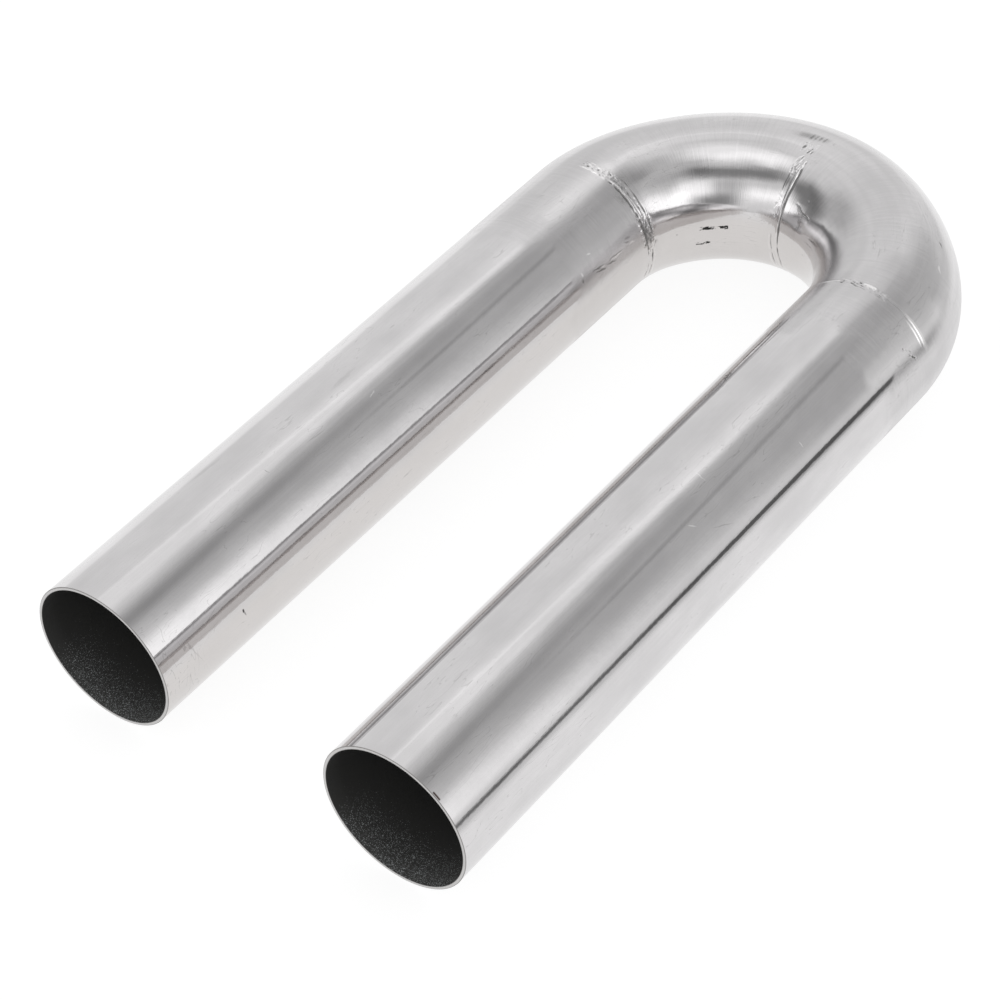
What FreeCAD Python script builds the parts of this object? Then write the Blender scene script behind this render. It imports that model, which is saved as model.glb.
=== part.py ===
import FreeCAD, Part

import os

# Return bend: one round stainless steel tube with two straight legs, bent to a U in two
# 90 degree steps. Each step leaves the outside of the bend a little flat and its wall thin,
# and a pair of low ridges on the inside where it starts and stops.
# The frame: +Z up, the legs lie along Y with their open ends towards -Y, the bend is at +Y.
# The origin is under the middle of the tube's box, on the surface that the tube lies on.

doc = FreeCAD.newDocument("ReturnBend")

# Driving sizes in mm, and in degrees round the bend from the right leg
SIZES = {
    "outer_diameter": 63.5,
    "wall_thickness": 1.5,
    "leg_length": 305.0,
    "bend_radius": 68.5,
    "outside_flattening": 2.6,
    "outside_thinning": 0.25,
    "inside_thickening": 0.2,
    "edge_break": 0.2,
    "end_ridge_height": 0.2,
    "middle_ridge_height": 0.4,
    "ridge_width": 2.4,
    "ridge_reach": 0.25,
    "ridge_spacing": 5.0,
    "last_mark_angle": 0.0,
    "middle_mark_angle": 88.0,
    "first_mark_angle": 178.0,
}
sheet = doc.addObject("Spreadsheet::Sheet", "Sizes")
for row, (alias, value) in enumerate(SIZES.items(), start=1):
    sheet.set("A%d" % row, alias)
    sheet.set("B%d" % row, str(value))
    sheet.setAlias("B%d" % row, alias)
doc.recompute()

# Expressions that several objects share: the two radii, and where the legs end and the bend starts
OUTER = "Sizes.outer_diameter / 2"
INNER = "(Sizes.outer_diameter / 2 - Sizes.wall_thickness)"
BEND_START = "(Sizes.leg_length - Sizes.bend_radius - Sizes.outer_diameter / 2) / 2"
BEVEL_START = "(Sizes.leg_length - Sizes.edge_break)"

# One bend step turns the tube by this angle, and its surface runs through this many ovals
STEP_ANGLE = 90.0
OVALS = 7


def bind(item, **expressions):
    """Ties properties of a document object to expressions of the sizes."""
    for name, expression in expressions.items():
        item.setExpression(name, expression)


def place(item, x, y, z, rotation):
    """Puts an item at a point, turned by its yaw, pitch and roll, all given as expressions."""
    item.setExpression(
        "Placement",
        "create(<<placement>>; create(<<vector>>; %s; %s; %s); create(<<rotation>>; %s))"
        % (x, y, z, rotation),
    )
    return item


def set_along_leg(item, start):
    """Lays an item's axis along the right leg towards its open end, from a start past the bend."""
    y = "%s - %s" % (BEND_START, start)
    return place(item, "Sizes.bend_radius", y, OUTER, "0; 0; 90")


def set_across_bend(item, angle, radius, back="0"):
    """Stands an item's XY plane across the bend: its X points up and its Y away from the centre.

    The radius is from the bend's centre, and back is a length along the tube to the right leg.
    """
    x = "(%s) * cos(%s) + (%s) * sin(%s)" % (radius, angle, back, angle)
    y = "%s + (%s) * sin(%s) - (%s) * cos(%s)" % (BEND_START, radius, angle, back, angle)
    return place(item, x, y, OUTER, "%s - 90; -90; 0" % angle)


def leg(name, radius, length):
    """A round bar along the right leg, from where the bend starts."""
    bar = doc.addObject("Part::Cylinder", name)
    bind(bar, Radius=radius, Height=length)
    return set_along_leg(bar, "0")


def bevel(name, radius, end_radius, length):
    """A round taper that breaks an edge of the right leg's cut end."""
    taper = doc.addObject("Part::Cone", name)
    bind(taper, Radius1=radius, Radius2=end_radius, Height=length)
    return set_along_leg(taper, BEVEL_START)


def oval(name, angle, radius, outside, inside):
    """The tube's section at an angle, with the outside and the inside of the bend drawn in."""
    ring = doc.addObject("Part::Ellipse", name)
    bind(
        ring,
        MajorRadius=radius,
        MinorRadius="%s - ((%s) + (%s)) / 2" % (radius, outside, inside),
    )
    return set_across_bend(
        ring, angle, "Sizes.bend_radius - ((%s) - (%s)) / 2" % (outside, inside)
    )


def bend_step(name, radius, outside, inside):
    """One bend step, swept along its arc: round at both ends and drawn in most at its middle."""
    spine = doc.addObject("Part::Circle", name + "_arc")
    bind(spine, Radius="Sizes.bend_radius")
    spine.Angle1 = 0
    spine.Angle2 = STEP_ANGLE
    place(spine, "0", BEND_START, OUTER, "0; 0; 0")
    ovals = []
    for number in range(OVALS):
        share = number / (OVALS - 1)
        drawn = "pow(sin(%s); 2)" % (180 * share)
        ovals.append(
            oval(
                "%s_oval_%d" % (name, number + 1),
                STEP_ANGLE * share,
                radius,
                "(%s) * %s" % (outside, drawn),
                "(%s) * %s" % (inside, drawn),
            )
        )
    sweep = doc.addObject("Part::Sweep", name)
    sweep.Sections = ovals
    sweep.Spine = (spine, ["Edge1"])
    sweep.Solid = True
    return sweep


def joined(name, items):
    """Several solids as one."""
    union = doc.addObject("Part::MultiFuse", name)
    union.Shapes = items
    return union


def both_sides(name, half):
    """A right half of the U joined with its mirror image on the left."""
    mirror = doc.addObject("Part::Mirroring", name + "_mirrored_half")
    mirror.Source = half
    mirror.Base = (0, 0, 0)
    mirror.Normal = (1, 0, 0)
    return joined(name, [half, mirror])


def ridge(name, angle, height):
    """A low ridge round the inside of the bend, as two tapers that fall away from its crest.

    The crest is a circle a little smaller than the tube and set inwards, so that the ridge
    stands proud on the inside of the bend only and sinks into the wall before the top.
    """
    crest = OUTER + " - Sizes.ridge_reach"
    foot = crest + " - 2 * " + height
    middle = "Sizes.bend_radius - Sizes.ridge_reach - " + height
    ahead = doc.addObject("Part::Cone", name + "_ahead")
    bind(ahead, Radius1=crest, Radius2=foot, Height="Sizes.ridge_width")
    behind = doc.addObject("Part::Cone", name + "_behind")
    bind(behind, Radius1=foot, Radius2=crest, Height="Sizes.ridge_width")
    return [
        set_across_bend(ahead, angle, middle),
        set_across_bend(behind, angle, middle, "Sizes.ridge_width"),
    ]


def mark(name, height):
    """Two ridges side by side, where a bend step starts or stops."""
    half_turn = "Sizes.ridge_spacing / 2 / Sizes.bend_radius * 180 / pi"
    centre = "Sizes.%s_angle" % name
    near_ridge = ridge(name + "_near_ridge", "(%s - %s)" % (centre, half_turn), height)
    far_ridge = ridge(name + "_far_ridge", "(%s + %s)" % (centre, half_turn), height)
    return near_ridge + far_ridge


# The outside of the tube's right half
leg_outside = leg("leg_outside", OUTER, BEVEL_START)
end_outside = bevel("end_outside", OUTER, OUTER + " - Sizes.edge_break", "Sizes.edge_break")
bend_outside = bend_step("bend_outside", OUTER, "Sizes.outside_flattening", "0")
half_outside = joined("half_outside", [leg_outside, end_outside, bend_outside])

# Its bore: the wall is thinner on the outside of the bend, where it was stretched, and thicker
# on the inside. The bore's bevel runs on past the cut end by its own length.
leg_bore = leg("leg_bore", INNER, BEVEL_START)
end_bore = bevel("end_bore", INNER, INNER + " + 2 * Sizes.edge_break", "2 * Sizes.edge_break")
bend_bore = bend_step(
    "bend_bore",
    INNER,
    "Sizes.outside_flattening - Sizes.outside_thinning",
    "Sizes.inside_thickening",
)
half_bore = joined("half_bore", [leg_bore, end_bore, bend_bore])

# The whole tube: both halves, the marks of the bend steps, and the bore cut through them. The
# marks at the bend's two ends are the lower ones, so a close sleeve still passes over them.
plain_tube = both_sides("plain_tube", half_outside)
first_mark = mark("first_mark", "Sizes.end_ridge_height")
middle_mark = mark("middle_mark", "Sizes.middle_ridge_height")
last_mark = mark("last_mark", "Sizes.end_ridge_height")
marked_tube = joined("marked_tube", [plain_tube] + first_mark + middle_mark + last_mark)
bore = both_sides("bore", half_bore)
bent_tube = doc.addObject("Part::Cut", "bent_tube")
bent_tube.Label = "bent_tube"
bent_tube.Base = marked_tube
bent_tube.Tool = bore

doc.recompute()

for item in doc.Objects:
    faults = {"Invalid", "Error"} & set(item.State)
    if faults:
        raise RuntimeError("%s is %s" % (item.Name, ", ".join(sorted(faults))))
if bent_tube.Shape.isNull() or not bent_tube.Shape.isValid():
    raise RuntimeError("bent_tube has no valid shape")
if len(bent_tube.Shape.Solids) != 1:
    raise RuntimeError("bent_tube is not one solid")

os.makedirs("parts", exist_ok=True)
bent_tube.Shape.exportStep("parts/%s.step" % bent_tube.Label)

box = bent_tube.Shape.optimalBoundingBox(True)
print("size %.2f x %.2f x %.2f mm" % (box.XLength, box.YLength, box.ZLength))
print("volume %.1f mm3 in %d faces" % (bent_tube.Shape.Volume, len(bent_tube.Shape.Faces)))
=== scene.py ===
import math
from types import SimpleNamespace

import bpy
import numpy as np
from mathutils import Matrix, Vector


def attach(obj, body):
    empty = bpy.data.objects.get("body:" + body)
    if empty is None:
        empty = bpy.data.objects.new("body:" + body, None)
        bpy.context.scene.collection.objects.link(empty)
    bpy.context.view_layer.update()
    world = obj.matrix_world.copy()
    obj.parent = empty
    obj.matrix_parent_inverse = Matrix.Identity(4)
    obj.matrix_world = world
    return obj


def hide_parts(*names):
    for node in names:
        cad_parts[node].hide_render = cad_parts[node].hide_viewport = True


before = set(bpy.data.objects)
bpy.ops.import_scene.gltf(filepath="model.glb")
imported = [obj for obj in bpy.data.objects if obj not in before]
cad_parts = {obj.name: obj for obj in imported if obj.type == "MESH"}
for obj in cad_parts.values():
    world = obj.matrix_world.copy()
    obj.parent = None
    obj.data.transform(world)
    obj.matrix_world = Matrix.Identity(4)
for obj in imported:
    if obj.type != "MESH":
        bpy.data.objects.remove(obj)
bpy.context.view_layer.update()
scene = bpy.context.scene
scene.view_settings.view_transform = "Standard"

# Sizes in metres, as in the part's source: OUTER is the tube's radius, BEND the radius of its
# centre line in the bend, and EDGE the size of the broken edges of the cut ends
OUTER = 0.03175
WALL = 0.0015
LEG = 0.305
BEND = 0.0685
FLATTENING = 0.0026
THINNING = 0.00025
THICKENING = 0.0002
EDGE = 0.0002
BEND_Y = (LEG - BEND - OUTER) / 2
ARC = math.pi * BEND
LENGTH = 2 * LEG + ARC
MM = 0.001


def make_camera():
    """The photograph's viewpoint."""
    azimuth, elevation, roll = 0.690284, 0.755052, -0.063904
    distance = 1.18185
    target = Vector((0.001835, -0.052698, 0.03175))
    back = Vector(
        (
            math.sin(azimuth) * math.cos(elevation),
            -math.cos(azimuth) * math.cos(elevation),
            math.sin(elevation),
        )
    )
    right = (-back).cross(Vector((0, 0, 1))).normalized()
    up = right.cross(-back)
    turned_right = math.cos(roll) * right + math.sin(roll) * up
    turned_up = -math.sin(roll) * right + math.cos(roll) * up
    data = bpy.data.cameras.new("camera")
    data.lens = 110.355
    data.sensor_width = 36.0
    data.clip_start = 0.05
    data.clip_end = 50.0
    camera = bpy.data.objects.new("camera", data)
    camera.matrix_world = Matrix.Translation(target + back * distance) @ Matrix(
        (turned_right, turned_up, back)
    ).transposed().to_4x4()
    scene.collection.objects.link(camera)
    scene.camera = camera


def path(s):
    """Centre, outward direction and how far a bend step has gone, at lengths from the left end."""
    s = np.asarray(s, float)
    turn = np.clip((s - LEG) / BEND, 0.0, math.pi)
    theta = math.pi - turn
    outward = np.stack([np.cos(theta), np.sin(theta), 0 * theta], -1)
    centre = BEND * outward + np.array([0.0, BEND_Y, OUTER])
    before = np.minimum(s - LEG, 0.0)
    after = np.maximum(s - LEG - ARC, 0.0)
    centre[..., 1] += before - after
    return centre, outward, np.sin(2 * theta) ** 2


def skin(s, phi, radius, outside, inside):
    """Points of the tube's skin. Phi is 0 on the outside of the bend and 90 degrees on top."""
    centre, outward, drawn = path(s)
    out, inn = outside * drawn, inside * drawn
    level = -(out - inn) / 2 + (radius - (out + inn) / 2) * np.cos(phi)
    up = radius * np.sin(phi)
    return centre + level[..., None] * outward + up[..., None] * np.array([0, 0, 1.0])


def smooth(x, low, high):
    """0 below low, 1 above high and an even rise between them."""
    t = np.clip((x - low) / (high - low), 0.0, 1.0)
    return t * t * (3 - 2 * t)


def window(x, low, high, soft):
    """1 between low and high, soft at both sides."""
    return smooth(x, low - soft, low + soft) * (1 - smooth(x, high - soft, high + soft))


def wander(seed, x, size, slowest):
    """A smooth random line over x, about as high as size; slowest is its longest wave."""
    waves = 6
    rng = np.random.default_rng(seed)
    line = np.zeros_like(x)
    for k in range(1, waves + 1):
        line += rng.uniform(0.5, 1.0) / k * np.sin(
            2 * math.pi * k * x / slowest + rng.uniform(0, 2 * math.pi)
        )
    return size * line


def along(s, phi):
    """Length along the skin itself, which is shorter inside the bend and longer outside it."""
    share = 1 + OUTER / BEND * np.cos(phi)
    return (
        np.minimum(s, LEG)
        + np.clip(s - LEG, 0, ARC) * share
        + np.maximum(s - LEG - ARC, 0)
    )


def unit_cells(seed, x, y):
    """A smooth random surface of cells one unit wide, from -1 to 1."""
    size = 64
    table = np.random.default_rng(seed).uniform(-1, 1, (size, size))
    i, j = np.floor(x).astype(int), np.floor(y).astype(int)
    u, v = smooth(x - i, 0, 1), smooth(y - j, 0, 1)
    near = (1 - v) * table[i % size, j % size] + v * table[i % size, (j + 1) % size]
    far = (1 - v) * table[(i + 1) % size, j % size] + v * table[(i + 1) % size, (j + 1) % size]
    return (1 - u) * near + u * far


def from_line(s, phi, at, seed, meander, lean, middle):
    """Distance in mm along the skin from a wandering line across the tube."""
    degrees = np.degrees(phi)
    line = at + lean * (degrees - middle) / 30 + wander(seed, degrees, meander, 70.0)
    return (along(s, phi) - along(line * MM, phi)) / MM


def fold(s, phi, at, low, high, height, width, meander, lean, uneven, seed):
    """A ridge, or a groove below 0, across the tube between two angles."""
    degrees = np.degrees(phi)
    off = from_line(s, phi, at, seed, meander, lean, (low + high) / 2) / width
    level = 1 + uneven * unit_cells(seed + 50, degrees / 4.0, 0 * phi)
    soft = min(8.0, (high - low) / 4)
    return height * MM * level * np.exp(-(off**2)) * window(degrees, low, high, soft)


def crumple(s, phi, at, low, high, height, width, lean, seed):
    """A strip of creased skin across the tube, between two angles."""
    degrees = np.degrees(phi)
    off = from_line(s, phi, at, seed, 0.3, lean, (low + high) / 2)
    run = phi * OUTER / MM
    # the creases are longer round the tube than along it, and slant
    crease_width, crease_length, slant = 1.1, 2.6, 0.25
    x, y = (off + slant * run) / crease_width, run / crease_length
    creases = 1 - 2 * np.abs(unit_cells(seed, x, y))
    fine = 1 - 2 * np.abs(unit_cells(seed + 1, 2.1 * x, 2.1 * y))
    soft = min(6.0, (high - low) / 4)
    inside = window(off, -width / 2, width / 2, 0.35) * window(degrees, low, high, soft)
    return height * MM * inside * (creases + 0.6 * fine - 0.45)


def step(s, phi, at, low, high, height, rise, fall, seed):
    """A ridge with one side longer than the other, between two angles."""
    degrees = np.degrees(phi)
    off = from_line(s, phi, at, seed, 0.15, 0.0, (low + high) / 2)
    shape = smooth(off, -rise, 0) * (1 - smooth(off, 0, fall))
    return height * MM * shape * window(degrees, low, high, (high - low) / 4)


def dent(s, phi, at, angle, depth, length, breadth):
    """A round-bottomed dent."""
    u = (along(s, phi) - along(np.full_like(phi, at * MM), phi)) / (length * MM)
    v = (phi - math.radians(angle)) * OUTER / (breadth * MM)
    return -depth * MM * np.exp(-(u**2) - v**2)


# The marks of the bend steps. The first is a creased strip between two folds, which ends in two
# thin lines on the inside. The middle one is a sharp fold with a thin one beside it, flecked above
# and rippled on the inside. The last has two bright steps on the outside and a creased patch near
# the top. Each line starts with the length from the left end in mm and the two angles that the
# thing lies between, and ends with its seed. Sizes are in mm, and a lean is in mm over 30 degrees.

# Folds: height (below 0 for a groove), width, meander, lean, and how uneven the height is
FOLDS = {
    "first, near the top": (305.2, 86, 120, 0.18, 0.50, 0.20, 0.0, 0.2, 43),
    "first, groove of the near side": (305.3, 110, 172, -0.30, 0.50, 0.20, 0.0, 0.5, 44),
    "first, beside that groove": (306.3, 110, 160, 0.26, 0.45, 0.25, 0.0, 0.5, 45),
    "first, slanting": (307.6, 118, 150, 0.16, 0.40, 0.30, 1.8, 0.5, 51),
    "first, far side": (310.9, 116, 172, 0.16, 0.45, 0.30, 0.0, 0.5, 46),
    "first, groove of the far side": (312.4, 118, 168, -0.12, 0.45, 0.30, 0.0, 0.5, 47),
    "first, short one before the strip": (303.9, 150, 170, 0.20, 0.45, 0.30, 1.6, 0.2, 48),
    "first, near line on the inside": (306.4, 168, 207, 0.22, 0.50, 0.30, 1.2, 0.5, 49),
    "first, groove of the near line": (305.6, 168, 207, -0.14, 0.50, 0.30, 1.2, 0.5, 49),
    "first, far line on the inside": (311.8, 166, 209, 0.24, 0.55, 0.30, 1.8, 0.5, 50),
    "first, groove of the far line": (310.9, 166, 209, -0.14, 0.55, 0.30, 1.8, 0.5, 50),
    "middle, sharp fold": (417.2, 116, 150, 0.30, 0.45, 0.15, 0.5, 0.5, 69),
    "middle, groove of the sharp fold": (418.2, 116, 174, -0.28, 0.45, 0.15, 0.5, 0.5, 69),
    "middle, low end of the sharp fold": (417.4, 146, 174, 0.18, 0.45, 0.25, 0.5, 0.5, 70),
    "middle, thin fold": (413.2, 122, 138, 0.16, 0.40, 0.20, 0.8, 0.5, 71),
    "middle, near line on the inside": (411.2, 172, 210, 0.20, 0.55, 0.40, 0.0, 0.5, 73),
    "middle, groove of the near line": (412.2, 172, 210, -0.12, 0.55, 0.40, 0.0, 0.5, 73),
    "middle, ripple between the lines": (414.4, 184, 210, 0.12, 0.55, 0.40, 0.0, 0.5, 74),
    "middle, far line on the inside": (417.6, 172, 210, 0.20, 0.55, 0.40, 0.0, 0.5, 75),
    "middle, groove of the far line": (418.6, 172, 210, -0.16, 0.55, 0.40, 0.0, 0.5, 75),
    "last, over the steps": (520.4, 46, 74, 0.09, 0.45, 0.20, 0.0, 0.3, 83),
    "last, groove over the steps": (521.4, 46, 74, -0.06, 0.45, 0.20, 0.0, 0.3, 84),
    "last, on the inside": (521.8, 108, 138, 0.12, 0.50, 0.30, 0.5, 0.3, 88),
}

# Strips of creased skin: height, width and lean
CRUMPLES = {
    "first, whole strip": (308.0, 100, 190, 0.075, 5.4, 0.0, 41),
    "first, near the top": (307.6, 84, 108, 0.190, 5.0, 0.0, 52),
    "first, on the inside": (308.2, 148, 174, 0.110, 8.5, 0.0, 42),
    "middle, flecks near the top": (412.8, 91, 104, 0.150, 5.0, 0.0, 66),
    "middle, flecks beyond those": (416.0, 90, 106, 0.140, 1.6, 1.5, 67),
    "middle, over the sharp fold": (415.0, 106, 124, 0.090, 4.5, 0.0, 68),
    "middle, under the thin fold": (413.2, 142, 160, 0.060, 3.0, 0.0, 72),
    "last, before the top": (521.3, 68, 84, 0.070, 4.0, 0.0, 85),
    "last, near the top": (520.8, 82, 112, 0.130, 4.2, 0.0, 87),
}

# Ridges with one longer side: height, and how long the side is that rises and the one that falls
STEPS = {
    "last, bright step": (520.9, 27, 51, 0.28, 2.2, 0.3, 81),
    "last, thin bright step": (522.3, 29, 50, 0.18, 1.0, 0.3, 82),
    "last, near the top": (519.8, 80, 92, 0.16, 1.3, 1.8, 86),
}

# Pits of the last mark and outside it: the length from the left end, the angle, and the depth
PITS = [
    (520.4, 87.0, 0.14),
    (520.3, 89.5, 0.14),
    (521.2, 107.0, 0.16),
    (522.2, 108.0, 0.12),
    (528.3, 24.7, 0.22),
    (529.2, 26.6, 0.24),
    (530.4, 29.0, 0.16),
    (532.4, 36.4, 0.12),
]
PIT_LENGTH, PIT_BREADTH = 0.5, 0.45


def inside_fold(s, phi):
    """A sharp fold that runs along the inside of the bend past the middle mark, and a pit."""
    reach = window(s, 0.4295, 0.4415, 0.004)
    degrees = np.degrees(phi)
    line = 143.8 + 4.2 * smooth(s, 0.426, 0.436) + wander(80, s / MM, 0.25, 9.0)
    off = np.radians(degrees - line) * OUTER / MM
    crest = 0.14 * np.exp(-((off / 0.5) ** 2))
    groove = 0.20 * np.exp(-(((off + 0.9) / 0.40) ** 2))
    out = MM * reach * (crest - groove)
    return out + dent(s, phi, 434.6, 136.3, 0.10, 0.7, 0.35)


def marks(s, phi):
    """How far the marks of the bend steps stand proud of the plain tube."""
    out = inside_fold(s, phi)
    for shape, lines in ((fold, FOLDS), (crumple, CRUMPLES), (step, STEPS)):
        for sizes in lines.values():
            out += shape(s, phi, *sizes)
    for at, angle, depth in PITS:
        out += dent(s, phi, at, angle, depth, PIT_LENGTH, PIT_BREADTH)
    return out


# Small dents of the bend: the length from the left end, the angle, the depth, and how long and how
# broad the dent is
DENTS = {
    "inside": (437.0, 156.0, 0.25, 3.2, 2.2),
    "outside": (481.0, 46.0, 0.14, 0.9, 0.4),
}

# How far from the left end the marks are at the top of the tube
MARK_PLACES = (308, 413, 521)


def hollows(s, phi):
    """Small dents, a slight waviness, and hollows near the top that keep the marks below it."""
    degrees = np.degrees(phi)
    out = sum(dent(s, phi, *sizes) for sizes in DENTS.values())
    top = window(degrees, 76, 104, 7)
    depth, half = 0.16, 4
    for at in MARK_PLACES:
        out -= depth * MM * top * window(s, (at - half) * MM, (at + half) * MM, 0.006)
    bent = window(s, LEG, LEG + ARC, 0.02)
    x = s / MM
    waves = wander(3, x + 0.25 * degrees, 0.010, 60.0) + wander(4, x - 0.4 * degrees, 0.010, 45.0)
    return out + MM * waves * (0.25 + bent)


def smear(s, degrees, length):
    """Soft dirt over the middle mark, which breaks up in strokes across the tube."""
    strokes_apart = 2.0
    strokes = np.sin(2 * math.pi * s / MM / strokes_apart + wander(92, s / MM, 0.7, 9.0))
    hatch = smooth(strokes + 0.8 * unit_cells(91, length / 1.2, degrees / 4), -0.4, 1.0)
    level = 0.34 + 0.22 * window(s, 0.4055, 0.4120, 0.0015)
    level += 0.36 * hatch * window(s, 0.4095, 0.4185, 0.0015)
    level *= smooth(s, 0.3970, 0.4060) * (1 - smooth(s, 0.4170, 0.4195))
    # its middle comes down from the top of the tube as it goes on
    return level * window(degrees + 0.28 * (s / MM - 405), 83.4, 91.0, 2.8)


# Patches of the first mark: from and to in mm and how soft, the same in degrees, and how much
# darker (above 0) or paler (below 0) the patch is
PATCHES = {
    "after the strip": (310.5, 315.0, 1.5, 113, 122, 3, 0.60),
    "before the strip": (301.0, 305.0, 1.4, 122, 132, 4, 0.60),
    "middle of the strip": (304.5, 311.5, 0.8, 112, 150, 10, 0.35),
    "end of the strip": (303.5, 313.0, 1.0, 151, 170, 5, 0.90),
    "strip near the top": (305.0, 310.5, 1.0, 86, 108, 4, -0.45),
}


def soil(s, phi, proud):
    """Dirt, darker patches and painted shade in the grooves (above 0), and paler patches and a
    painted highlight on the ridges (below 0), for a height of the marks.
    """
    degrees = np.degrees(phi)
    length = along(s, phi) / MM
    # painted shade: the grooves of the marks are darker, and the smear of dirt is added
    dark = smooth(-proud, 0.01 * MM, 0.14 * MM) + smear(s, degrees, length)
    # painted highlight: the ridges of the marks are paler, less so towards the inside of the bend
    bright = smooth(proud, 0.03 * MM, 0.20 * MM) * (1 - 0.75 * smooth(degrees, 118, 145))
    ragged = 0.6 + 0.4 * unit_cells(90, length / 0.8, degrees / 1.6)
    for start, end, soft, first, last, soft_turn, level in PATCHES.values():
        patch = window(s / MM, start, end, soft) * window(degrees, first, last, soft_turn)
        dark += ragged * patch * max(level, 0)
        bright += ragged * patch * max(-level, 0)
    return np.clip(dark, 0, 1) - 0.7 * np.clip(bright, 0, 1)


# The skin's columns: this many round the tube, each split in this many where a row is fine
COLUMNS = 144
SPLIT = 5

# The bore's columns round the tube
BORE_COLUMNS = 128

# The skin's rows: from, to and how far apart in mm, and the two angles between which they are fine
ROWS = [
    (0, 280, 6, None),
    (280, 298, 2.5, None),
    (298, 302, 0.8, None),
    (302, 315, 0.25, (75, 212)),
    (315, 400, 2.5, None),
    (400, 406.5, 0.4, (75, 95)),
    (406.5, 420.5, 0.25, (75, 212)),
    (420.5, 425, 1.5, None),
    (425, 443.5, 0.6, (125, 165)),
    (443.5, 479, 2.5, None),
    (479, 483, 0.3, (40, 52)),
    (483, 516.5, 2.5, None),
    (516.5, 524, 0.25, (20, 140)),
    (524, 533.5, 0.3, (20, 42)),
    (533.5, LENGTH / MM, 6, None),
]


def skin_rows():
    """Each row's length along the tube in metres, and the first and last of its fine columns."""
    rows = []
    turn = 360 / COLUMNS
    for low, high, apart, fine in ROWS:
        first, last = (0, 0) if fine is None else (int(fine[0] / turn), int(fine[1] / turn) + 1)
        count = max(1, round((high - low) / apart))
        stops = np.linspace(low * MM, high * MM, count, endpoint=False)
        rows += [(stop, first, last) for stop in stops]
    rows[0] = (EDGE, 0, 0)
    return rows + [(LENGTH - EDGE, 0, 0)]


def column_points(column, fine):
    """The angles of a column's points, the start of the next column left out."""
    share = np.arange(SPLIT if fine else 1) / (SPLIT if fine else 1)
    return (column + share) * 2 * math.pi / COLUMNS


def edge_points(start, column):
    """Numbers of the points on a row's stretch of a column. The last column is never fine."""
    if column == COLUMNS - 1:
        return [start[column], start[0]]
    return list(range(start[column], start[column + 1] + 1))


def skin_grid():
    """Places of all the skin's points and its faces. A face may join a coarse and a fine row."""
    lengths, turns, starts = [], [], []
    for at, first, last in skin_rows():
        here = []
        for column in range(COLUMNS):
            points = column_points(column, first <= column < last)
            here.append(len(turns))
            turns += list(points)
            lengths += [at] * len(points)
        starts.append(here)
    faces = []
    for row in range(len(starts) - 1):
        for column in range(COLUMNS):
            below = edge_points(starts[row], column)
            above = edge_points(starts[row + 1], column)
            if len(below) == len(above):
                for k in range(len(below) - 1):
                    faces.append((below[k], above[k], above[k + 1], below[k + 1]))
            else:
                faces.append(tuple(below[::-1] + above))
    return np.array(lengths), np.array(turns), faces


def grid_mesh(name, rows):
    """A closed tube of quads through rows of points, and its object."""
    count, around = rows.shape[:2]
    quads = []
    for i in range(count - 1):
        here, ahead = i * around, (i + 1) * around
        for j in range(around):
            k = (j + 1) % around
            quads.append((here + j, ahead + j, ahead + k, here + k))
    return mesh_object(name, rows.reshape(-1, 3), quads)


def mesh_object(name, points, faces):
    """A smooth-shaded object in the scene."""
    mesh = bpy.data.meshes.new(name)
    mesh.from_pydata([tuple(point) for point in points], [], faces)
    mesh.polygons.foreach_set("use_smooth", np.ones(len(faces), bool))
    mesh.update()
    made = bpy.data.objects.new(name, mesh)
    scene.collection.objects.link(made)
    return made


def straight_place(made, s, phi, radius):
    """Keeps each point's place on the tube as it was before bending, for the materials."""
    place = np.stack([s, radius * np.cos(phi), radius * np.sin(phi)], -1)
    values = place.reshape(-1).astype(np.float32)
    layer = made.data.attributes.new("straight", "FLOAT_VECTOR", "POINT")
    layer.data.foreach_set("vector", values)


def kept_inside(proud, phi, height):
    """The relief, held back so that none stands above the tube's top, below its foot or outside."""
    # how far a point can move outwards before it passes the top or the foot
    to_the_limit = np.minimum(2 * OUTER - height, height)
    room = to_the_limit / np.maximum(np.abs(np.sin(phi)), 0.05)
    rise = np.minimum(np.maximum(proud, 0), np.maximum(room, 0))
    proud = np.where(proud > 0, rise * (1 - np.exp(-room / (0.02 * MM))), proud)
    outermost = smooth(np.cos(phi), 0.92, 0.985)
    return np.where(proud > 0, proud * (1 - outermost), proud)


def make_outside():
    """The skin of the tube with its marks, and its dirt with painted shade in the grooves of the
    marks and a painted highlight on their ridges.
    """
    s, phi, faces = skin_grid()
    plain = skin(s, phi, OUTER, FLATTENING, 0.0)
    _, outward, _ = path(s)
    normal = np.cos(phi)[..., None] * outward + np.sin(phi)[..., None] * np.array([0, 0, 1.0])
    marked = marks(s, phi)
    proud = kept_inside(marked + hollows(s, phi), phi, plain[..., 2])
    made = mesh_object("tube_outside", plain + proud[..., None] * normal, faces)
    straight_place(made, s, phi, OUTER)
    # dirt and patches, with painted shade in the grooves of the marks and a painted highlight on
    # their ridges
    layer = made.data.attributes.new("soil", "FLOAT", "POINT")
    layer.data.foreach_set("value", soil(s, phi, marked).astype(np.float32))
    return made


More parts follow.
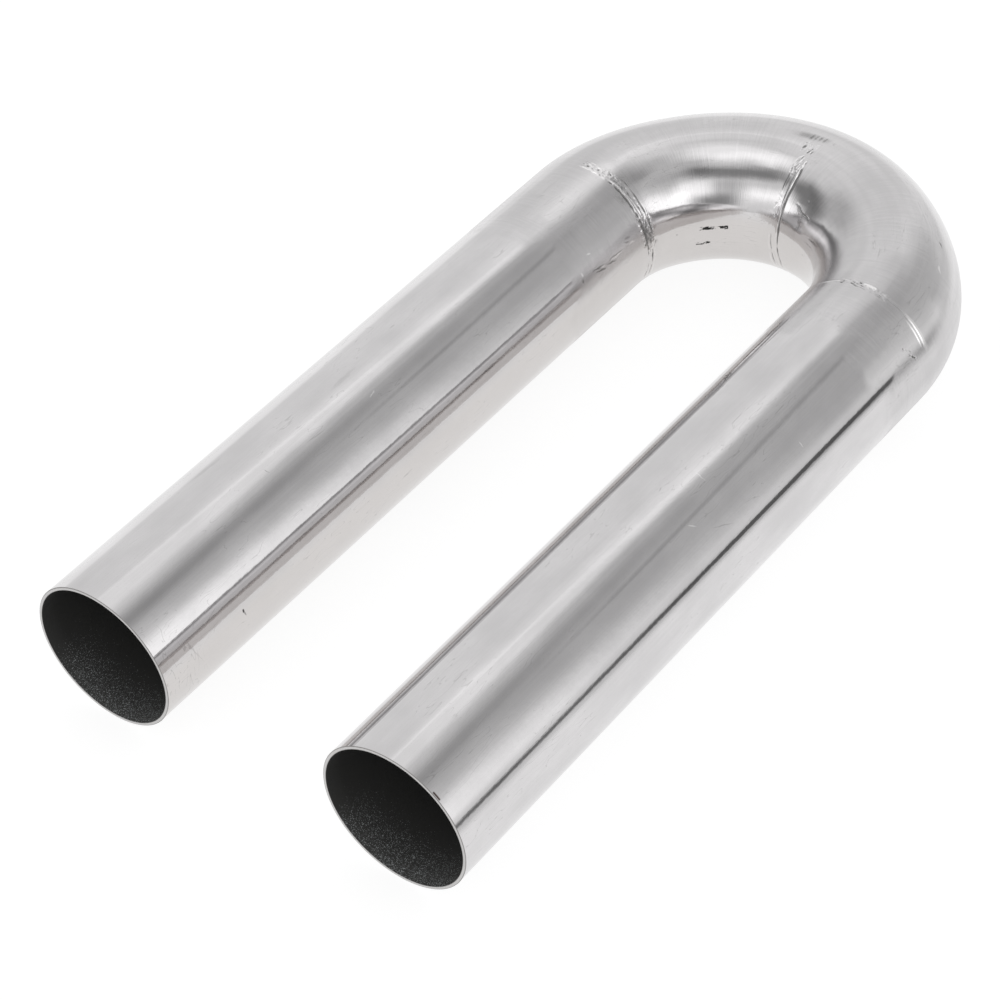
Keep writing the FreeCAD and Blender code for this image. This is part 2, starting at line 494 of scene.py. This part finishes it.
def make_bore():
    """The bore with the cut ends and their broken edges. Its rows are closer in the bend."""
    inner = OUTER - WALL
    near_bend = 0.3
    leg_rows, bend_rows = 40, 80
    s = np.concatenate(
        [
            np.linspace(EDGE, near_bend, leg_rows),
            np.linspace(near_bend, LENGTH - near_bend, bend_rows)[1:-1],
            np.linspace(LENGTH - near_bend, LENGTH - EDGE, leg_rows),
        ]
    )
    phi = np.linspace(0, 2 * math.pi, BORE_COLUMNS, endpoint=False)
    s, angle = np.meshgrid(s, phi, indexing="ij")
    bore = skin(s, angle, inner, FLATTENING - THINNING, THICKENING)

    def ring(at, radius):
        return skin(np.full((1, len(phi)), at), phi[None, :], radius, 0.0, 0.0)

    start = [ring(EDGE, OUTER), ring(0, OUTER - EDGE), ring(0, inner + EDGE)]
    end = [ring(LENGTH, inner + EDGE), ring(LENGTH, OUTER - EDGE), ring(LENGTH - EDGE, OUTER)]
    rows = np.concatenate(start + [bore] + end)[::-1]
    made = grid_mesh("tube_bore", rows)
    places = [EDGE, 0, 0] + list(s[:, 0]) + [LENGTH, LENGTH, LENGTH - EDGE]
    edges = [OUTER, OUTER - EDGE, inner + EDGE]
    radii = np.array(edges + [inner] * len(bore) + edges[::-1])
    full, angle = np.meshgrid(np.array(places)[::-1], phi, indexing="ij")
    straight_place(made, full, angle, radii[::-1, None])
    return made


class Nodes:
    """Short ways to add nodes to a tree."""

    def __init__(self, tree):
        self.tree = tree
        self.tree.nodes.clear()

    def new(self, kind, **settings):
        node = self.tree.nodes.new(kind)
        for name, value in settings.items():
            setattr(node, name, value)
        return node

    def put(self, socket, value):
        if isinstance(value, bpy.types.NodeSocket):
            self.tree.links.new(value, socket)
        else:
            socket.default_value = value

    def math(self, operation, a, b=0.0, c=0.0, clamp=False):
        node = self.new("ShaderNodeMath", operation=operation, use_clamp=clamp)
        for socket, value in zip(node.inputs, (a, b, c)):
            self.put(socket, value)
        return node.outputs[0]

    def add(self, a, b):
        return self.math("ADD", a, b)

    def times(self, a, b):
        return self.math("MULTIPLY", a, b)

    def rise(self, x, low, high, a=0.0, b=1.0):
        """From a to b as x goes from low to high."""
        node = self.new("ShaderNodeMapRange", interpolation_type="SMOOTHSTEP")
        for name, value in (
            ("Value", x),
            ("From Min", low),
            ("From Max", high),
            ("To Min", a),
            ("To Max", b),
        ):
            self.put(node.inputs[name], value)
        return node.outputs["Result"]

    def band(self, x, low, high, soft):
        """1 between low and high, soft at both sides."""
        up = self.rise(x, low - soft, low + soft)
        down = self.rise(x, high - soft, high + soft, 1.0, 0.0)
        return self.times(up, down)

    def vector(self, x, y, z):
        node = self.new("ShaderNodeCombineXYZ")
        for socket, value in zip(node.inputs, (x, y, z)):
            self.put(socket, value)
        return node.outputs[0]

    def split(self, vector):
        node = self.new("ShaderNodeSeparateXYZ")
        self.put(node.inputs[0], vector)
        return node.outputs[0], node.outputs[1], node.outputs[2]

    def scale(self, vector, x, y, z):
        node = self.new("ShaderNodeVectorMath", operation="MULTIPLY")
        self.put(node.inputs[0], vector)
        node.inputs[1].default_value = (x, y, z)
        return node.outputs[0]

    def noise(self, vector, size, detail, roughness=0.5):
        node = self.new("ShaderNodeTexNoise")
        self.put(node.inputs["Vector"], vector)
        node.inputs["Scale"].default_value = size
        node.inputs["Detail"].default_value = detail
        node.inputs["Roughness"].default_value = roughness
        return node.outputs["Fac"]

    def blend(self, share, a, b):
        """Between two numbers."""
        node = self.new("ShaderNodeMix", data_type="FLOAT")
        self.put(node.inputs[0], share)
        self.put(node.inputs[2], a)
        self.put(node.inputs[3], b)
        return node.outputs[0]

    def colour(self, share, a, b):
        """Between two colours."""
        node = self.new("ShaderNodeMix", data_type="RGBA")
        self.put(node.inputs[0], share)
        self.put(node.inputs[6], a)
        self.put(node.inputs[7], b)
        return node.outputs[2]

    def dot(self, vector, direction):
        node = self.new("ShaderNodeVectorMath", operation="DOT_PRODUCT")
        self.put(node.inputs[0], vector)
        node.inputs[1].default_value = direction
        return node.outputs["Value"]

    def segment(self, point, one, other):
        """How far a point lies from the straight line between two places."""
        way = other - one
        from_one = self.new("ShaderNodeVectorMath", operation="SUBTRACT")
        self.put(from_one.inputs[0], point)
        from_one.inputs[1].default_value = one
        share = self.dot(from_one.outputs[0], way / way.length_squared)
        nearest = self.new("ShaderNodeVectorMath", operation="SCALE")
        nearest.inputs[0].default_value = way
        self.put(nearest.inputs["Scale"], self.math("ADD", share, 0.0, clamp=True))
        off = self.new("ShaderNodeVectorMath", operation="DISTANCE")
        self.put(off.inputs[0], from_one.outputs[0])
        self.put(off.inputs[1], nearest.outputs[0])
        return off.outputs["Value"]

    def bump(self, height, distance, strength=1.0):
        """A normal for a relief that is this distance high, in metres."""
        node = self.new("ShaderNodeBump")
        node.inputs["Strength"].default_value = strength
        node.inputs["Distance"].default_value = distance
        self.put(node.inputs["Height"], height)
        return node.outputs["Normal"]


def surface(name):
    """A new material, its nodes and shader, and the place on the tube before bending."""
    material = bpy.data.materials.new(name)
    material.use_nodes = True
    nodes = Nodes(material.node_tree)
    shader = nodes.new("ShaderNodeBsdfPrincipled")
    output = nodes.new("ShaderNodeOutputMaterial")
    nodes.tree.links.new(shader.outputs[0], output.inputs["Surface"])
    place = nodes.new("ShaderNodeAttribute", attribute_name="straight").outputs["Vector"]
    return material, nodes, shader, place


# Where the satin starts and ends on the legs, in metres from the left end
SATIN_START, SATIN_END = 0.256, 0.550


def satin_mask(n, strokes, s, y):
    """Where the bend was rubbed satin, and the pale rim of that on the right leg."""
    # the borders on the legs follow single strokes
    shifted = n.add(s, n.times(n.add(strokes, -0.5), 0.055))
    on_bend = n.band(shifted, SATIN_START, SATIN_END, 0.0025)
    # the inside of the bend could hardly be reached
    inside = n.times(n.rise(y, -0.0305, -0.0285, 0.75, 0.0), n.band(s, 0.318, 0.500, 0.006))
    rim = n.band(shifted, SATIN_END - 0.008, SATIN_END, 0.003)
    rims = n.times(rim, n.rise(strokes, 0.36, 0.46, 1.0, 0.0))
    return n.times(on_bend, n.math("SUBTRACT", 1.0, inside)), rims


# Satin strokes that reach past the others on the legs: the angle of a stroke's middle, half its
# width in mm, how far its round end is from the left end in mm, and how much paler (above 0) or
# darker (below 0) it is than the rest
STROKES = {
    "pale stroke behind the last mark": (39.0, 6.2, 560.0, 0.60),
    "narrow stroke behind the last mark": (57.0, 5.5, 561.0, 0.0),
    "dark stroke over the right leg": (79.0, 6.0, 550.0, -0.34),
    "stroke inside the right leg": (112.0, 5.6, 563.0, -0.26),
    "broad stroke outside the right leg": (6.0, 11.0, 556.0, -0.08),
    "pale stroke before the first mark": (102.0, 5.4, 267.0, 0.35),
    "broad stroke over the left leg": (68.0, 12.0, 257.0, -0.15),
}


def single_strokes(n, s, y, z):
    """Where the single strokes are, and how much paler and darker they make the steel."""
    turn = n.times(n.math("ARCTAN2", z, y), OUTER)
    wobble = n.times(n.add(n.noise(n.vector(s, turn, 0.0), 160.0, 1.0), -0.5), 3.0 * MM)
    point = n.vector(n.add(s, wobble), n.add(turn, wobble), 0.0)
    rubbed, pale, dark = 0.0, 0.0, 0.0
    for angle, half, reach, level in STROKES.values():
        way = half if reach > LENGTH / 2 / MM else -half
        across = math.radians(angle) * OUTER
        # from its round end the stroke runs on under the satin of the bend
        one = Vector(((reach - way) * MM, across, 0))
        other = Vector(((reach - 8 * way) * MM, across, 0))
        off = n.segment(point, one, other)
        here = n.rise(off, 0.3 * half * MM, 1.2 * half * MM, 1.0, 0.0)
        rubbed = n.math("MAXIMUM", rubbed, here)
        if level > 0:
            pale = n.math("MAXIMUM", pale, n.times(here, level))
        if level < 0:
            dark = n.math("MAXIMUM", dark, n.times(here, -level))
    return rubbed, pale, dark


def hairlines(n, place, size, width, seed):
    """Thin wandering lines, where a stretched noise passes through its middle value."""
    moved = n.new("ShaderNodeVectorMath", operation="ADD")
    n.put(moved.inputs[0], n.scale(place, *size))
    moved.inputs[1].default_value = (seed, 2.3 * seed, -1.7 * seed)
    off = n.math("ABSOLUTE", n.add(n.noise(moved.outputs[0], 1.0, 1.0), -0.5))
    return n.rise(off, 0.0, width, 1.0, 0.0)


# Single scratches and specks: the length from the left end in mm and the angle of both ends,
# half the width in mm, and how dark (above 0) or bright (below 0) it is
SCRATCHES = {
    "tail of the left leg's pit": (44.1, 170.8, 44.5, 174.6, 0.40, 0.8),
    "bright scratch of the left leg": (144.0, 115.0, 148.0, 112.6, 0.35, -0.8),
    "tick of the left leg": (87.6, 103.0, 88.2, 108.0, 0.30, 0.35),
    "smudge of the left leg": (67.0, 66.5, 86.0, 69.0, 1.2, 0.13),
    "scuff near the top of the left leg": (136.0, 91.0, 153.0, 89.0, 1.2, 0.13),
    "line over the left leg": (176.0, 60.0, 176.6, 70.0, 0.30, 0.20),
    "bright scratch of the right leg": (669.3, 57.9, 666.7, 53.2, 0.34, -0.9),
    "faint line after it": (661.8, 44.9, 651.6, 36.4, 0.34, 0.22),
    "line over the right leg": (647.7, 79.2, 648.5, 70.4, 0.32, -0.5),
    "tick near the top of the right leg": (664.8, 88.7, 661.6, 89.3, 0.32, 0.3),
    "short line of the right leg": (603.0, 38.0, 603.4, 44.0, 0.30, -0.6),
    "tick on the right leg": (675.0, 24.0, 675.2, 28.5, 0.30, -0.6),
    "burr beside the left leg": (563.0, 117.0, 579.0, 119.0, 0.35, -0.5),
    "tick outside the bend": (480.0, 47.4, 482.4, 44.6, 0.42, 0.9),
    "bright tick outside the bend": (492.0, 48.0, 495.2, 44.8, 0.55, -0.6),
    "pit beside the last mark": (529.7, 27.8, 529.0, 25.2, 0.60, 1.0),
    "end of that pit": (529.0, 25.0, 528.0, 24.4, 0.45, 0.8),
    "line over that pit": (530.2, 33.0, 529.2, 30.2, 0.35, 0.4),
    "speck over that line": (531.4, 36.2, 532.6, 37.4, 0.45, 0.4),
    "streak, its dark lower line": (270.4, 157.0, 277.6, 160.3, 0.42, 1.0),
    "streak, its upper line": (268.8, 154.8, 276.8, 156.2, 0.36, 0.7),
    "streak, bright fleck between them": (274.6, 157.1, 277.4, 158.3, 0.48, -0.7),
    "streak, next line": (278.0, 158.2, 284.4, 161.1, 0.42, 0.75),
    "streak, long line": (278.8, 156.9, 289.8, 157.3, 0.34, 0.55),
    "streak, bright line beside it": (279.6, 158.2, 290.4, 158.7, 0.45, -0.6),
    "streak, scuff at its end": (292.6, 151.9, 296.2, 153.8, 0.60, 0.45),
    "streak, lower scuff at its end": (292.2, 155.0, 294.8, 156.4, 0.55, 0.5),
    "streak, bright scuff at its end": (293.6, 157.8, 298.0, 159.2, 0.50, -0.5),
    "streak, tick before it": (261.8, 156.4, 262.9, 154.4, 0.55, 0.6),
    "streak, bright tick before it": (263.7, 149.4, 263.0, 152.4, 0.50, -0.6),
    "streak, bright spot over it": (271.0, 141.5, 272.6, 142.5, 0.55, -0.5),
}


def scratched(n, s, y, z, chosen):
    """How strongly single scratches show. Each is a long ellipse with a soft edge."""
    turn = n.times(n.math("ARCTAN2", z, y), OUTER)
    wobble = n.times(n.add(n.noise(n.vector(s, turn, 0.0), 420.0, 2.0), -0.5), 1.6 * MM)
    point = n.vector(n.add(s, wobble), n.add(turn, wobble), 1.0)
    lowest = 0.0
    for start, first, end, last, half, level in chosen:
        one = Vector((start * MM, math.radians(first) * OUTER))
        other = Vector((end * MM, math.radians(last) * OUTER))
        way = (other - one).normalized()
        length = (other - one).length + half * MM
        # a bowl that is as deep as the scratch is strong, and 0 at the edge of its ellipse
        bowl = -abs(level)
        for direction, size in ((way, length / 2), (Vector((-way.y, way.x)), half * MM)):
            slope = direction * math.sqrt(abs(level)) / size
            off = n.dot(point, (slope.x, slope.y, -slope.dot(one + other) / 2))
            bowl = n.math("MULTIPLY_ADD", off, off, bowl)
        lowest = n.math("MINIMUM", lowest, bowl)
    # a little more than the depth, so that the middle of a strong scratch is even
    return n.math("MULTIPLY", lowest, -1.5, clamp=True)


# Small dark stains: the length from the left end in mm and the angle of both ends, half the width
# in mm, and the colour
STAINS = {
    "rust by the right leg's end": (824.4, 52.9, 824.4, 47.6, 0.60, (0.070, 0.040, 0.032, 1)),
    "pit of the left leg": (44.0, 169.4, 44.0, 170.9, 0.66, (0.020, 0.020, 0.020, 1)),
}


def on_skin(at, angle):
    """The place before bending of a point of the skin, from its length in mm and its angle."""
    turn = math.radians(angle)
    return Vector((at * MM, OUTER * math.cos(turn), OUTER * math.sin(turn)))


def stained(n, place, tone):
    """The tone with the small dark stains on it."""
    for start, first, end, last, half, colour in STAINS.values():
        off = n.segment(place, on_skin(start, first), on_skin(end, last))
        tone = n.colour(n.rise(off, 0.2 * half * MM, half * MM, 0.95, 0.0), tone, colour)
    return tone


def inner_dirt(n, place, s, y, z):
    """A few dark flecks on the inside of the bend, drawn out along the tube, and single dots."""
    flecks = n.noise(n.scale(place, 290, 1150, 1150), 1.0, 3.0, 0.65)
    inner = n.rise(y, -0.020, -0.024)
    upper = n.times(n.band(s, 0.3530, 0.3780, 0.0020), n.band(z, 0.0004, 0.0028, 0.0007))
    lower = n.times(n.band(s, 0.3510, 0.3640, 0.0015), n.band(z, -0.0078, -0.0056, 0.0007))
    faint = n.times(n.band(s, 0.3830, 0.4020, 0.0030), n.band(z, -0.0055, -0.0015, 0.0010))
    areas = n.add(n.math("MAXIMUM", upper, lower), n.times(faint, 0.55))
    speck = n.times(n.band(s, 0.3348, 0.3354, 0.0003), n.band(z, 0.0014, 0.0020, 0.0003))
    spots = n.rise(n.times(areas, flecks), 0.44, 0.52)
    return n.times(inner, n.math("MAXIMUM", spots, n.times(speck, 0.8)))


# The steel's colours: the two that its streaks lie between, then those laid over them. The warm one
# is a painted reflection, low where the legs face each other. Of the last three, the first is dirt,
# darker patches and painted shade in the grooves of the marks, and the second paler patches and a
# painted highlight on their ridges.
STREAK_DARK = (0.645, 0.634, 0.639, 1)
STREAK_PALE = (0.730, 0.717, 0.723, 1)
MOTTLED = (0.60, 0.588, 0.59, 1)
RUBBED_DARKER = (0.45, 0.44, 0.445, 1)
RUBBED_PALER = (0.90, 0.885, 0.890, 1)
# painted reflection: the warm tint where the legs face each other
WARM_PAINTED_REFLECTION = (0.665, 0.636, 0.618, 1)
SCRATCH = (0.30, 0.295, 0.29, 1)
BRIGHT_SCRATCH = (0.97, 0.96, 0.96, 1)
# dirt, with painted shade in the grooves of the marks
SOILED_AND_PAINTED_SHADE = (0.14, 0.138, 0.135, 1)
# paler patches, with a painted highlight on the ridges of the marks
PALE_AND_PAINTED_HIGHLIGHT = (0.95, 0.935, 0.935, 1)
DIRT = (0.035, 0.035, 0.034, 1)


def steel_noises(n, place):
    """The noises that the steel's roughness, tone and relief share."""
    return SimpleNamespace(
        strokes=n.noise(n.scale(place, 14, 55, 55), 1.0, 1.0),
        lengthwise=n.noise(n.scale(place, 8, 1700, 1700), 1.0, 2.0, 0.6),
        round_lines=n.noise(n.scale(place, 1300, 50, 50), 1.0, 2.0, 0.7),
        cloud=n.noise(n.scale(place, 30, 60, 60), 1.0, 2.0, 0.6),
        mottle=n.noise(n.scale(place, 260, 420, 420), 1.0, 2.0, 0.6),
        arcs=n.noise(n.scale(place, 9, 230, 230), 1.0, 1.0, 0.5),
    )


def steel_roughness(n, s, satin, cloud, dull):
    """Bright legs and a satin bend, which is coarser at its ends."""
    ends = n.math("MAXIMUM", n.rise(s, 0.300, 0.325, 1.0, 0.0), n.rise(s, 0.455, 0.500))
    rough_satin = n.add(n.blend(ends, 0.040, 0.200), n.times(cloud, 0.085))
    bright = n.add(0.035, n.times(cloud, 0.040))
    return n.blend(dull, n.blend(satin, bright, rough_satin), 0.55)


def fine_lines(n, place, s, y, cloud):
    """Fine scratches in patches on the legs, and wavy lines across the left leg near its end."""
    patches = n.rise(cloud, 0.52, 0.60)
    scratches = n.times(hairlines(n, place, (60, 420, 420), 0.012, 3.1), patches)
    near_end = n.times(n.rise(s, 0.012, 0.030, 1.0, 0.0), n.rise(y, -0.018, -0.026))
    short = n.rise(n.noise(place, 260.0, 1.0), 0.50, 0.56)
    across = n.times(n.times(hairlines(n, place, (330, 70, 70), 0.020, 5.7), near_end), short)
    return n.math("MAXIMUM", n.times(scratches, 0.30), n.times(across, 0.40))


def streaked(n, noises, satin):
    """Streaks along the legs and round the bend."""
    brushed = n.rise(n.blend(0.5, noises.round_lines, noises.arcs), 0.05, 0.95)
    streaks = n.blend(satin, n.blend(0.70, noises.lengthwise, 0.5), brushed)
    shade = n.rise(n.blend(0.45, noises.cloud, streaks), 0.36, 0.64)
    return n.colour(shade, STREAK_DARK, STREAK_PALE)


def steel_relief(n, s, noises):
    """Brush lines along the legs, and round the bend with longer arcs among them."""
    on_bend = n.band(s, SATIN_START + 0.006, SATIN_END, 0.010)
    lines = n.blend(on_bend, n.times(noises.lengthwise, 0.45), n.times(noises.round_lines, 2.0))
    arcs = n.times(n.times(noises.arcs, on_bend), 4.0)
    return n.bump(n.add(lines, n.add(n.times(noises.mottle, 1.2), arcs)), 0.012 * MM)


def steel_material():
    """Stainless steel: bright legs with lengthwise lines, satin bend with lines round it."""
    material, n, shader, place = surface("polished_steel")
    s, y, z = n.split(place)
    noises = steel_noises(n, place)
    satin, rims = satin_mask(n, noises.strokes, s, y)
    rubbed, pale, dark = single_strokes(n, s, y, z)
    satin = n.math("MAXIMUM", satin, rubbed)
    # the marks' attribute: dirt, darker patches and painted shade in the grooves above 0; paler
    # patches and a painted highlight on the ridges below 0
    soil_and_painted_light_level = n.new("ShaderNodeAttribute", attribute_name="soil").outputs["Fac"]
    soiled = n.rise(soil_and_painted_light_level, 0.0, 1.0)
    pale_and_painted_highlight = n.rise(soil_and_painted_light_level, 0.0, -0.7)
    dirt = inner_dirt(n, place, s, y, z)
    dull = n.math("MAXIMUM", soiled, dirt)

    lines = fine_lines(n, place, s, y, noises.cloud)
    dark_ones = [scratch for scratch in SCRATCHES.values() if scratch[-1] > 0]
    bright_ones = [scratch for scratch in SCRATCHES.values() if scratch[-1] < 0]
    # painted reflection: warm, low on the sides where the legs face each other
    facing_side_painted_reflection = n.times(n.rise(y, -0.004, -0.018), n.rise(z, 0.012, 0.003))
    tone = streaked(n, noises, satin)
    for share, colour in (
        (n.rise(noises.mottle, 0.35, 0.70, 0.0, 0.12), MOTTLED),
        (n.times(n.rise(noises.strokes, 0.40, 0.60, 0.16, 0.0), satin), RUBBED_DARKER),
        (dark, RUBBED_DARKER),
        (n.math("MAXIMUM", n.times(rims, 0.35), pale), RUBBED_PALER),
        # painted reflection of warm light, where the legs face each other
        (n.times(facing_side_painted_reflection, 0.70), WARM_PAINTED_REFLECTION),
        (n.math("MAXIMUM", lines, scratched(n, s, y, z, dark_ones)), SCRATCH),
        (scratched(n, s, y, z, bright_ones), BRIGHT_SCRATCH),
        # painted shade in the grooves of the marks, with dirt and darker patches
        (n.times(soiled, 0.75), SOILED_AND_PAINTED_SHADE),
        # painted highlight on the ridges of the marks, with paler patches
        (n.times(pale_and_painted_highlight, 0.85), PALE_AND_PAINTED_HIGHLIGHT),
        (dirt, DIRT),
    ):
        tone = n.colour(share, tone, colour)

    shader.inputs["Metallic"].default_value = 1.0
    n.put(shader.inputs["Base Color"], stained(n, place, tone))
    n.put(shader.inputs["Roughness"], steel_roughness(n, s, satin, noises.cloud, dull))
    n.put(shader.inputs["Normal"], steel_relief(n, s, noises))
    return material


def bore_material():
    """The unpolished bore: dark scale with pale grains, crowded on its floor near the ends as
    painted glints where light comes in.
    """
    material, n, shader, place = surface("dark_bore")
    s, _, z = n.split(place)
    grain = n.noise(place, 2600.0, 1.0, 0.6)
    from_end = n.math("MINIMUM", s, n.math("SUBTRACT", LENGTH, s))
    # painted light: more pale grains on the bore's floor near the open ends, where light falls in
    floor = n.times(n.rise(z, -0.004, -0.022), n.rise(from_end, 0.006, 0.034, 1.0, 0.0))
    least = n.blend(floor, 0.80, 0.58)
    specks = n.rise(grain, least, n.add(least, 0.06))
    scale, glitter = (0.052, 0.052, 0.050, 1), (0.34, 0.355, 0.36, 1)
    n.put(shader.inputs["Base Color"], n.colour(specks, scale, glitter))
    shader.inputs["Metallic"].default_value = 0.0
    shader.inputs["Specular IOR Level"].default_value = 0.2
    n.put(shader.inputs["Roughness"], n.blend(specks, 0.85, 0.50))
    n.put(shader.inputs["Normal"], n.bump(grain, 0.1 * MM, 0.6))
    return material


def cut_material():
    """The cut ends: steel with fine saw lines, and a painted dark reflection where its edges are
    broken.
    """
    material, n, shader, place = surface("cut_steel")
    _, y, z = n.split(place)
    grain = n.noise(n.scale(place, 300, 2200, 300), 1.0, 3.0, 0.6)
    radius = n.math("SQRT", n.add(n.times(y, y), n.times(z, z)))
    middle = n.band(radius, OUTER - WALL + 1.5 * EDGE, OUTER - 1.2 * EDGE, EDGE)
    # the broken edges get a painted dark reflection
    dark, pale, broken_edge_painted_reflection = (0.50, 0.49, 0.485, 1), (0.70, 0.69, 0.685, 1), (0.26, 0.25, 0.245, 1)
    face = n.colour(grain, dark, pale)
    n.put(shader.inputs["Base Color"], n.colour(middle, broken_edge_painted_reflection, face))
    shader.inputs["Metallic"].default_value = 1.0
    n.put(shader.inputs["Roughness"], n.add(0.30, n.times(grain, 0.15)))
    n.put(shader.inputs["Normal"], n.bump(grain, 0.02 * MM))
    return material


def paint_cut_ends(bore):
    """The second material on two rings of faces at each end: the cut end and its outer edge."""
    index = np.zeros(len(bore.data.polygons), np.int32)
    index[: 2 * BORE_COLUMNS] = 1
    index[-2 * BORE_COLUMNS :] = 1
    bore.data.polygons.foreach_set("material_index", index)


def floor_material():
    """Grey with a glow of its own that makes it white, so that the tube's shadow is faint."""
    grey, glow_strength, more_for_the_camera = 0.22, 0.80, 1.08
    material = bpy.data.materials.new("white_floor")
    material.use_nodes = True
    n = Nodes(material.node_tree)
    output = n.new("ShaderNodeOutputMaterial")
    diffuse = n.new("ShaderNodeBsdfDiffuse")
    diffuse.inputs["Color"].default_value = (grey, grey, grey, 1)
    glow = n.new("ShaderNodeEmission")
    ray = n.new("ShaderNodeLightPath")
    mirrored = n.math("MAXIMUM", ray.outputs["Is Glossy Ray"], ray.outputs["Is Transmission Ray"])
    filmed = n.times(ray.outputs["Is Camera Ray"], more_for_the_camera)
    n.put(glow.inputs["Strength"], n.times(n.math("MAXIMUM", filmed, mirrored), glow_strength))
    both = n.new("ShaderNodeAddShader")
    n.put(both.inputs[0], diffuse.outputs[0])
    n.put(both.inputs[1], glow.outputs[0])
    # the steel mirrors an oval of floor round it, and beyond that the low part of the tent
    x, y, _ = n.split(n.new("ShaderNodeNewGeometry").outputs["Position"])
    narrowing, oval_start, oval_end = 0.35, 0.20, 0.30
    off = n.math("SQRT", n.add(n.times(x, x), n.times(n.times(y, y), narrowing)))
    far = n.rise(off, oval_start, oval_end)
    gone = n.new("ShaderNodeBsdfTransparent")
    mixed = n.new("ShaderNodeMixShader")
    n.put(mixed.inputs[0], n.times(far, ray.outputs["Is Glossy Ray"]))
    n.put(mixed.inputs[1], both.outputs[0])
    n.put(mixed.inputs[2], gone.outputs[0])
    n.put(output.inputs["Surface"], mixed.outputs[0])
    return material


def make_floor():
    """A plain floor that the tube lies on."""
    mesh = bpy.data.meshes.new("floor")
    reach, level = 6.0, -0.0002
    signs = ((-1, -1), (1, -1), (1, 1), (-1, 1))
    corners = [(reach * x, reach * y, level) for x, y in signs]
    mesh.from_pydata(corners, [], [(0, 1, 2, 3)])
    mesh.materials.append(floor_material())
    floor = bpy.data.objects.new("floor", mesh)
    scene.collection.objects.link(floor)


# The studio round the tube: a pale tent with soft boxes (above 0) and darker gaps (below 0). The
# numbers are a strength, then in degrees the bearing of its middle (0 along +Y, 90 along +X),
# half its width, how soft its sides are, its lowest and highest height and how soft those are.
TENT = 0.85
STUDIO = {
    "roof": (0.42, 0, 190, 1, 76, 110, 8),
    "roof near the camera": (0.20, 190, 60, 25, 74, 86, 6),
    "roof left of the camera": (0.45, 240, 35, 20, 64, 76, 6),
    "gap over the boxes": (-0.55, 165, 60, 20, 47, 64, 6),
    "gap over the right wall": (-0.25, 70, 50, 20, 52, 78, 8),
    "far right wall": (-0.33, 28, 26, 10, 5, 60, 8),
    "left edge of the far right wall": (-0.16, 358, 6, 4, 40, 58, 6),
    "corner over the key box": (-0.25, 78, 20, 10, 38, 54, 8),
    "key box": (0.60, 84, 25, 10, 2, 28, 8),
    "key box, near side": (0.45, 115, 18, 10, 18, 40, 8),
    "camera side box": (0.60, 198, 28, 14, 17, 32, 8),
    "low box": (0.80, 225, 12, 8, 5, 20, 6),
    "gap over the left wall": (-0.32, 272, 18, 12, 12, 42, 9),
    "dark corner": (-0.60, 240, 17, 10, 5, 50, 8),
    "table edge": (-0.55, 140, 20, 12, 2, 20, 8),
    "gap between the boxes": (-0.20, 152, 14, 10, 20, 45, 8),
    "far left wall, high": (0.12, 335, 16, 8, 46, 66, 6),
    "bright seam of the far left wall": (0.13, 338, 22, 7, 51, 53, 1.2),
    "dark seam of the far right wall": (-0.13, 30, 9, 4, 43, 46, 1.5),
    "far left wall, low": (0.30, 315, 35, 15, -30, 0, 5),
    "low part of the tent": (-0.12, 0, 190, 1, -110, 0, 6),
    "seam of the tent": (-0.55, 52, 12, 5, -8.5, -4, 1.2),
    "wide end of that seam": (-0.25, 47, 6, 4, -11, -3, 1.5),
}


def make_world():
    """A pale tent, plain white where the camera sees it, with soft boxes that the steel mirrors."""
    world = bpy.data.worlds.new("studio")
    world.use_nodes = True
    scene.world = world
    n = Nodes(world.node_tree)
    ray = n.new("ShaderNodeLightPath")
    tent = n.new("ShaderNodeBackground")
    boxes = n.new("ShaderNodeBackground")
    for background in (tent, boxes):
        background.inputs["Color"].default_value = (1, 1, 1, 1)
    n.put(tent.inputs["Strength"], n.blend(ray.outputs["Is Camera Ray"], TENT, 1.0))

    x, y, z = n.split(n.new("ShaderNodeTexCoord").outputs["Generated"])
    height = n.times(n.math("ARCSINE", z), 180 / math.pi)
    bearing = n.times(n.math("ARCTAN2", x, y), 180 / math.pi)
    light = TENT
    for strength, middle, half, side, low, high, end in STUDIO.values():
        # how far the bearing is from the middle, either way round
        off = n.math("PINGPONG", n.add(bearing, -middle), 180.0)
        width = n.rise(off, half - side, half + side, strength, 0.0)
        light = n.add(light, n.times(width, n.band(height, low, high, end)))
    darkest = 0.12
    n.put(boxes.inputs["Strength"], n.math("MAXIMUM", light, darkest))

    mirrored = n.math("MAXIMUM", ray.outputs["Is Glossy Ray"], ray.outputs["Is Transmission Ray"])
    mixed = n.new("ShaderNodeMixShader")
    for socket, value in zip(mixed.inputs, (mirrored, tent.outputs[0], boxes.outputs[0])):
        n.put(socket, value)
    n.put(n.new("ShaderNodeOutputWorld").inputs["Surface"], mixed.outputs[0])


make_camera()
outside = make_outside()
outside.data.materials.append(steel_material())
bore = make_bore()
bore.data.materials.append(bore_material())
bore.data.materials.append(cut_material())
paint_cut_ends(bore)
for piece in (outside, bore):
    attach(piece, "root")
    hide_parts("bent_tube")

make_floor()
make_world()
